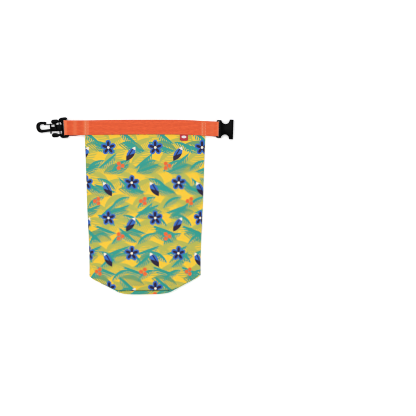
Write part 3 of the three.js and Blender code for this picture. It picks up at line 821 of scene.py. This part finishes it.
# %% [markdown]
# ## Stitching
# Two rows of paler thread close each tab, and a row along each edge sews the strap to the bag. A stitch is
# a short thread that rises from one hole and sinks into the next, so each is a small spindle. An Array
# modifier could repeat one along a line, but the strap bends, so all of them are worked out in one array.


# %% Thread
def sewing_thread(name, dark, pale):
    """Twisted thread: two tones and a fuzz that also roughens it."""
    finish = Finish(name, Sheen_Weight=0.3, Specular_IOR_Level=0.4)
    fuzz = finish.noise(finish.place(), 2600.0, 2.0)
    colour = finish.mix(fuzz, dark, pale)
    relief = finish.bump(fuzz, 0.00008, 0.6)
    return finish.show(Base_Color=colour, Roughness=fuzz * 0.2 + 0.5, Normal=relief)


PALE_THREAD = sewing_thread("pale_thread", (0.92, 0.24, 0.11, 1), (0.96, 0.36, 0.20, 1))
MATCHED_THREAD = sewing_thread("matched_thread", (0.66, 0.085, 0.03, 1), (0.86, 0.15, 0.06, 1))


# %% Stitches
def stitches(name, material, starts, ends, lift, thick):
    """Spindles from starts to ends: a circle whose size and height follow half a sine wave."""
    along = np.linspace(0, 1, 7)[None, :, None]
    turn = np.linspace(0, 2 * np.pi, 6, endpoint=False)[None, None, :]
    arch = np.sin(np.pi * np.clip(along, 0.03, 0.97)) ** 0.6
    step = ends - starts
    way = step / np.linalg.norm(step, axis=1, keepdims=True)
    flank = np.stack([-way[:, 1], way[:, 0], np.zeros(len(way))], -1)[:, None, None, :]
    middle = starts[:, None, None, :] + step[:, None, None, :] * along[..., None]
    wide = (thick / 2 * arch * np.cos(turn))[..., None]
    high = thick / 2 * arch * np.sin(turn) + lift * arch
    points = middle + flank * wide + high[..., None] * np.array([0.0, 0.0, 1.0])
    count, rows, columns = points.shape[:3]
    ring = np.arange(columns)
    tips = np.stack([ring[::-1], ring + (rows - 1) * columns])
    jump = np.arange(count)[:, None, None] * rows * columns
    faces = (grid_faces(rows, columns, loop=True) + jump).reshape(-1, 4).tolist()
    faces += (tips + jump).reshape(-1, columns).tolist()
    return piece_from(name, mesh_from(name, points, faces), material)


# %% Rows of stitches
TAB_ROWS, EDGE_SIDE = (-101.4, -97.0, 98.1, 103.3), 10.6


def strap_top(x):
    """Height of the strap's upper face along the crossing."""
    return np.interp(x, crossing[:, 0], crossing[:, 1]) + STRAP_THICK / 2


def across_row(x):
    """Stitches across the strap at one place."""
    side = np.arange(-11.4, 9.0, 2.6)
    x = np.full_like(side, x)
    return on_strap(x, side, strap_top(x)), on_strap(x, side + 2.1, strap_top(x))


def edge_row(side):
    """Stitches along one edge of the strap, over the width of the bag."""
    x = np.arange(-94, 92, 3.0)
    x_end = x + 2.4
    side = np.full_like(x, side)
    return on_strap(x, side, strap_top(x)), on_strap(x_end, side, strap_top(x_end))


def joined(rows):
    """The starts of all rows in one array, and their ends in another."""
    return [np.vstack(part) for part in zip(*rows)]


tab_rows = joined([across_row(x) for x in TAB_ROWS])
edge_rows = joined([edge_row(side) for side in (-EDGE_SIDE, EDGE_SIDE)])
print(len(tab_rows[0]), "stitches on the tabs and", len(edge_rows[0]), "along the edges")
tab_stitching = stitches("tab_stitching", PALE_THREAD, *tab_rows, lift=0.10, thick=1.05)
edge_stitching = stitches("edge_stitching", MATCHED_THREAD, *edge_rows, lift=0.02, thick=0.55)

# %% [markdown]
# ## The tag
# A short piece of red ribbon is folded double and caught under the strap. A flat plate would look alike
# from above, but not from the side. So it is a sheet that goes out along the cloth, turns at its free end
# and comes back on top. A plain pale oval is woven into it.

# %% Tag finish
OVAL_AT, OVAL_WIDE, OVAL_TALL = 16.7, 4.1, 2.3


def woven_tag(name):
    """A close weave of crossed sines, and an oval where the pale threads come to the top."""
    finish = Finish(name, Sheen_Weight=0.2, Specular_IOR_Level=0.3)
    across, run = finish.flat()
    cords = (across * 9000).math("SINE") * (run * 9000).math("SINE") * 0.5 + 0.5
    wide = (across - FLAT_SHIFT / 1000) / (OVAL_WIDE / 1000)
    tall = (run - (FLAT_SHIFT + OVAL_AT) / 1000) / (OVAL_TALL / 1000)
    oval = (wide * wide + tall * tall) < 1.0
    fuzz = finish.noise(finish.place(), 1500.0, 2.0)
    red = finish.mix(cords * 0.5 + fuzz * 0.4, (0.385, 0.015, 0.028, 1), (0.61, 0.037, 0.057, 1))
    colour = finish.mix(oval, red, (0.80, 0.73, 0.73, 1))
    relief = finish.bump(cords, 0.0001, 0.6)
    return finish.show(Base_Color=colour, Roughness=fuzz * 0.2 + 0.55, Normal=relief)


RIBBON = woven_tag("woven_tag")

# %% The tag's shape
TAG_X, TAG_WIDE, TAG_LONG, TAG_TURN, TAG_CLOTH = 66.3, 13.4, 9.6, 0.45, 0.4


def tag_points():
    """Lower ply, a half round at the free end, upper ply; each row rests on the front's arch, and the free
    corners are rounded by shortening the ply towards its edges."""
    lower = np.stack([np.linspace(0, TAG_LONG, 14), np.full(14, TAG_TURN)], -1)
    turn = np.radians(np.linspace(-90, 90, 9)[1:-1])
    round_end = np.stack([TAG_LONG + TAG_TURN * np.cos(turn), TAG_TURN * (2 + np.sin(turn))], -1)
    loop = np.vstack([lower, round_end, lower[::-1] + [0, 2 * TAG_TURN]])
    across = np.linspace(-0.5, 0.5, 13)[None] * TAG_WIDE
    x = TAG_X + across + np.zeros((len(loop), 1))
    shortened = 1 - 0.12 * np.abs(2 * across / TAG_WIDE) ** 5
    y = mouth_line(x) - STRAP_WIDE - loop[:, :1] * shortened
    along = -y / front_seam(x / SEAM_HALF)
    seat = front_height(x / half_width(along), loft(along)) - crease_depth(x, y)
    lift = 0.15 + 0.5 * (loop[:, :1] / TAG_LONG) ** 2
    run = np.cumsum(np.r_[0, np.linalg.norm(np.diff(loop, axis=0), axis=1)])[:, None]
    flat = np.stack([across + 0 * x, run + 0 * x], -1)
    return np.stack([x, y, seat + lift + loop[:, 1:]], -1), flat


points, flat = tag_points()
folded_tag = thicken(lay("folded_tag", points, flat + FLAT_SHIFT, RIBBON), TAG_CLOTH)

# %% [markdown]
# ## Mouldings
# Buckle and hook are black acetal from a mould: dull from the spark-worn tool, shinier where they are
# scuffed. Their solids have the right shape, but sharp facets. They could be modelled anew, but then they
# might no longer fit each other. A merged copy with a fine bevel keeps the shape and gives the edges the
# small radius that catches the light.


# %% Moulded plastic
def moulded_plastic(name):
    """Black with a fine grain, and broad scuffs that change its tone and its gloss."""
    finish = Finish(name, Specular_IOR_Level=0.031)
    place = finish.place()
    grain = finish.noise(place, 2200.0, 3.0)
    scuff = finish.noise(place, 140.0, 4.0)
    colour = finish.mix(scuff * 0.7, (0.0003, 0.0003, 0.0004, 1), (0.0011, 0.0011, 0.0012, 1))
    roughness = scuff * 0.22 + grain * 0.1 + 0.17
    return finish.show(Base_Color=colour, Roughness=roughness, Normal=finish.bump(grain, 0.00006, 0.5))


PLASTIC = moulded_plastic("moulded_plastic")


# %% Rounded copies
def moulding(node, name, radius=0.22):
    """A copy of a solid with its doubles merged, flat faces joined and edges rounded."""
    shape = bmesh.new()
    shape.from_mesh(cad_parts[node].data)
    bmesh.ops.remove_doubles(shape, verts=shape.verts, dist=2e-6)
    bmesh.ops.dissolve_limit(shape, angle_limit=np.radians(0.6), verts=shape.verts, edges=shape.edges)
    mesh = bpy.data.meshes.new(name)
    shape.to_mesh(mesh)
    shape.free()
    piece = piece_from(name, mesh, PLASTIC)
    edge = piece.modifiers.new("edge", "BEVEL")
    edge.width = radius / 1000
    edge.segments = 2
    edge.limit_method = "ANGLE"
    edge.angle_limit = np.radians(28)
    edge.harden_normals = True
    return piece


socket_moulding = moulding("buckle_socket", "socket_moulding")
plug_moulding = moulding("buckle_plug", "plug_moulding")
ring_moulding = moulding("hook_ring", "ring_moulding")
hook_moulding = moulding("snap_hook", "hook_moulding", radius=0.18)
gate_moulding = moulding("hook_gate", "gate_moulding", radius=0.12)

# %% [markdown]
# ## What moves with what
# Cloth, strap and buckle are one rigid body here. The hook turns in its ring, and the gate swings on the
# hook, so each of those two copies rides on its own body.

# %% Ride and replace
PIECES = [
    (front_cloth, "bag", "cloth", ["front_panel"]),
    (back_cloth, "bag", "cloth", ["back_panel"]),
    (base_cloth, "bag", "cloth", ["base_panel"]),
    (mouth_strap, "bag", "webbing", ["mouth_webbing"]),
    (tab_stitching, "bag", "webbing", []),
    (edge_stitching, "bag", "webbing", []),
    (folded_tag, "bag", "tag", ["front_tag"]),
    (socket_moulding, "bag", "plastic", ["buckle_socket"]),
    (plug_moulding, "bag", "plastic", ["buckle_plug"]),
    (ring_moulding, "bag", "plastic", ["hook_ring"]),
    (hook_moulding, "hook", "plastic", ["snap_hook"]),
    (gate_moulding, "gate", "plastic", ["hook_gate"]),
]
for piece, body, slot, nodes in PIECES:
    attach(piece, body)
    if nodes:
        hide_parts(*nodes)
print(len(PIECES), "pieces ride on", sorted({body for _, body, _, _ in PIECES}))

# %% [markdown]
# ## Floor, light and camera
# The bag is seen from straight above on a white surface, under soft, even light. A wide lamp overhead and a
# bright sky give that, with only a faint shadow round the edges, and a faint glow keeps the floor white.
# The camera is far off with a long lens, so the bag's height hardly spreads it. Print and stitches are only
# a pixel or two wide, so the pixel filter is narrower than usual to keep them crisp.


# %% Floor
def pale_floor(name):
    """White and faintly glowing, which lightens the shadow round the bag, with a mottle too faint to notice.
    """
    finish = Finish(name, Specular_IOR_Level=0.2, Emission_Color=(1, 1, 1, 1), Emission_Strength=0.26)
    mottle = finish.noise(finish.place(), 6.0, 3.0)
    colour = finish.mix(mottle, (0.965, 0.965, 0.965, 1), (0.985, 0.985, 0.985, 1))
    return finish.show(Base_Color=colour, Roughness=mottle * 0.1 + 0.8)


FLOOR_HALF, FLOOR_DROP = 3000, 0.05
ticks = np.linspace(-FLOOR_HALF, FLOOR_HALF, 5)
floor_x, floor_y = np.meshgrid(ticks, ticks, indexing="ij")
points = np.stack([floor_x, floor_y, np.full_like(floor_x, -FLOOR_DROP)], -1)
floor = lay("floor", points, points[..., :2], pale_floor("pale_floor"))

# %% Light
scene = bpy.context.scene
scene.view_settings.view_transform = "Standard"
scene.cycles.filter_width = 1.0
scene.world = bpy.data.worlds.new("studio")
scene.world.use_nodes = True
sky = scene.world.node_tree.nodes["Background"]
sky.inputs["Color"].default_value = (1.0, 1.0, 1.0, 1)
sky.inputs["Strength"].default_value = 0.55


def lamp(name, place, size, watts):
    """A round lamp at a place, turned to look at the origin."""
    data = bpy.data.lights.new(name, "AREA")
    data.shape = "DISK"
    data.size = size
    data.energy = watts
    light = bpy.data.objects.new(name, data)
    light.location = place
    x, y, z = place
    light.rotation_euler = (np.arctan2(np.hypot(x, y), z), 0, np.arctan2(x, -y))
    scene.collection.objects.link(light)
    print("lamp:", name, watts, "W")


lamp("overhead", (-0.5, 0.7, 3.2), 2.2, 48)
lamp("fill", (1.8, -1.2, 2.2), 1.6, 10)

# %% Camera
FRAME_WIDE = 0.7095
CAMERA_AT = (0.1246, -0.0035, 5.0)
camera_data = bpy.data.cameras.new("camera")
camera_data.sensor_width = 36
camera_data.lens = camera_data.sensor_width * CAMERA_AT[2] / FRAME_WIDE
camera = bpy.data.objects.new("camera", camera_data)
camera.location = CAMERA_AT
scene.collection.objects.link(camera)
scene.camera = camera
print("the camera looks down from", CAMERA_AT[2], "m with a", round(camera_data.lens), "mm lens")

# %% Last update
bpy.context.view_layer.update()
